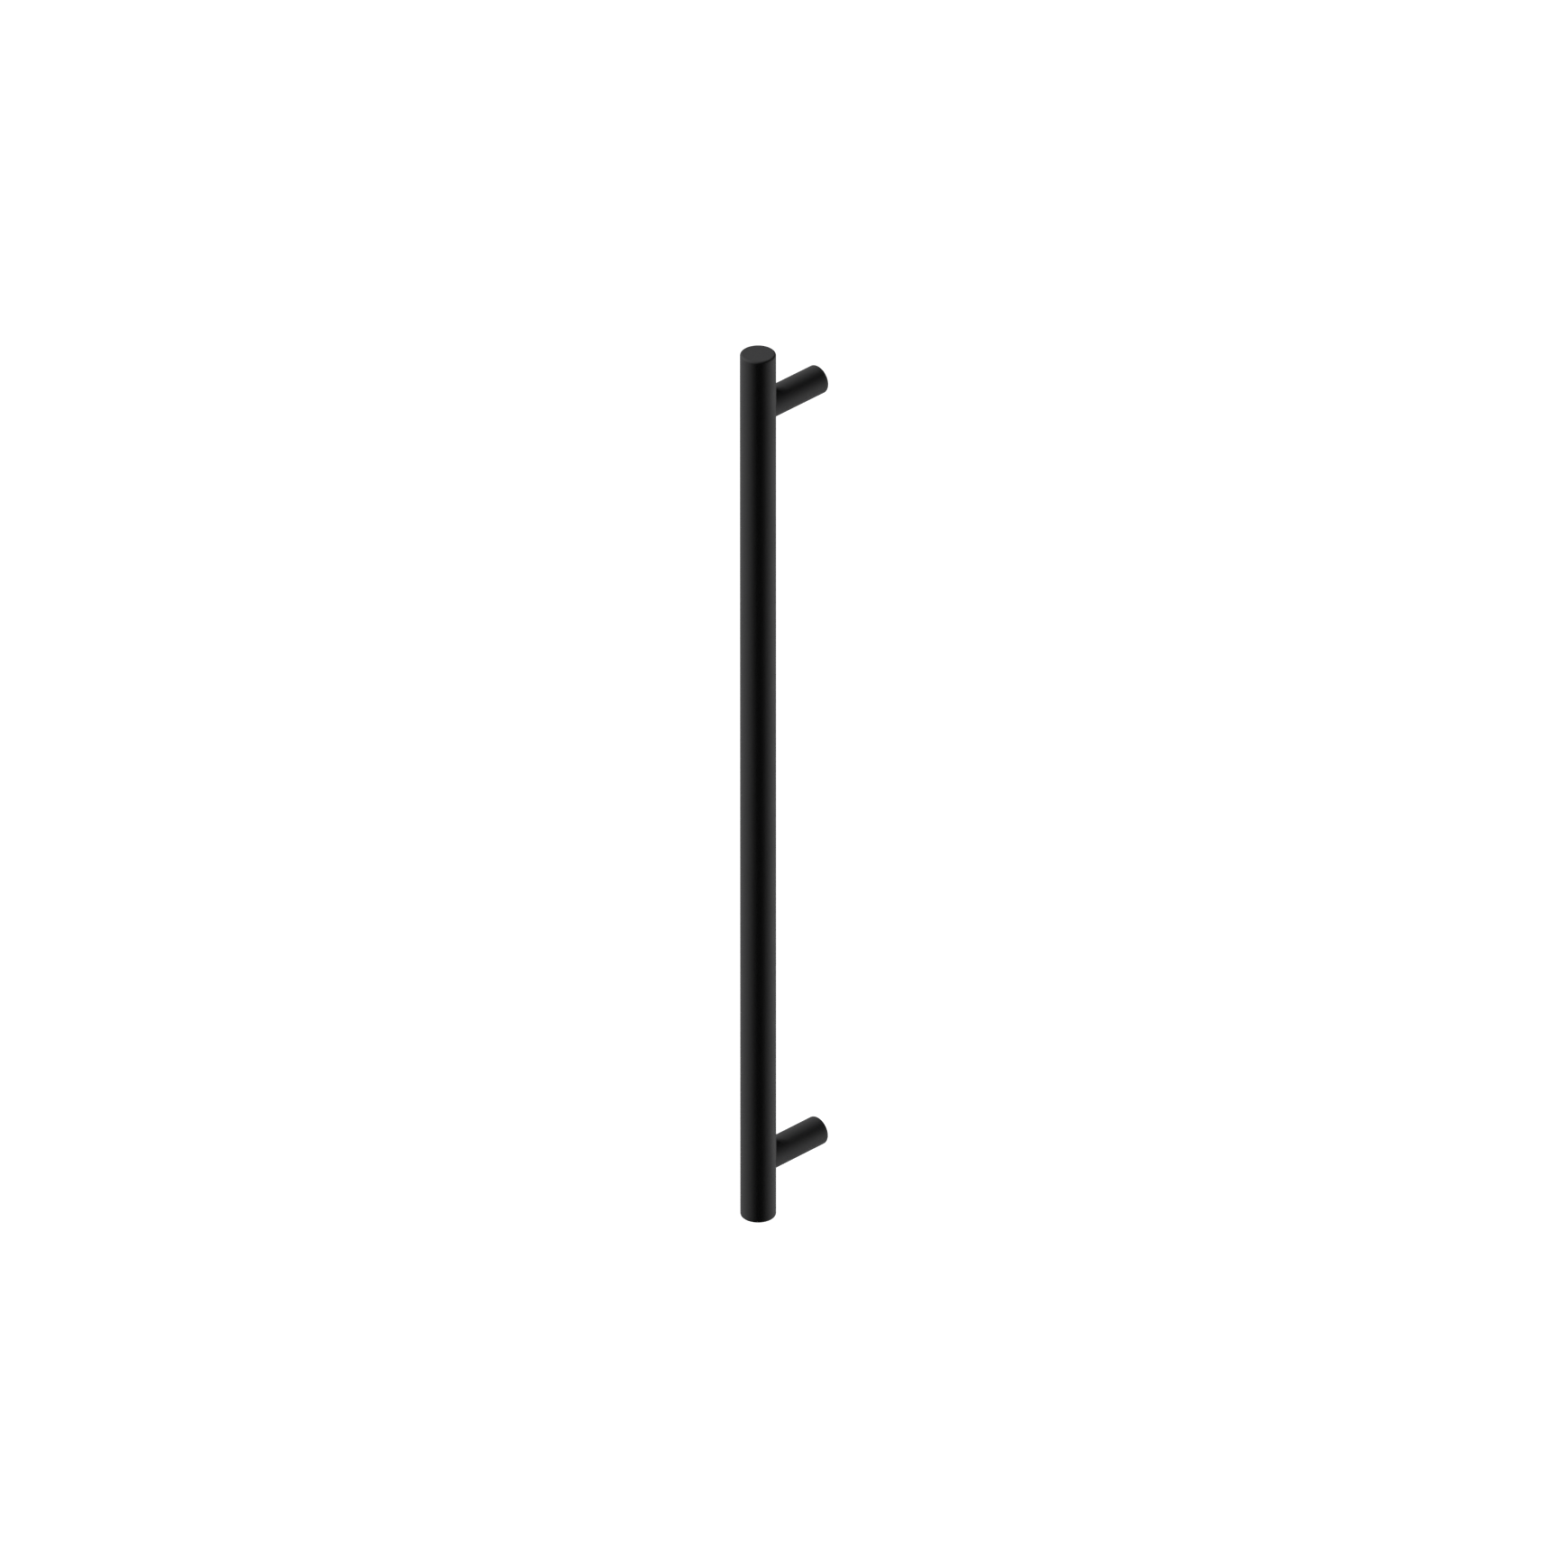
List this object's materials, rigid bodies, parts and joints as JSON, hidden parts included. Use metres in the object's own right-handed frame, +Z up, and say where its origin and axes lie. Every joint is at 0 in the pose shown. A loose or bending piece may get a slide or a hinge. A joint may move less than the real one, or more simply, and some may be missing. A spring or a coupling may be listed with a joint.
{
  "type": "door pull handle",
  "caption": "Straight round bar pull that stands off a door on plain round posts, each tapped at its foot for a screw put through the door.",
  "frame": {"origin": "on the door face, midway between the fixing holes", "axes": "+Z up along the bar, +Y into the door, +X to the right as seen by someone facing the door"},
  "size_m": [0.019, 0.0539, 0.5238],
  "materials": {
    "black_coat": "matt black coat over solid steel",
    "stud_steel": "plain bright steel, threaded"
  },
  "bodies": {
    "root": {"grip_bar": "black_coat", "upper_post": "black_coat", "lower_post": "black_coat", "upper_joining_stud": "stud_steel", "lower_joining_stud": "stud_steel"}
  },
  "joints": []
}
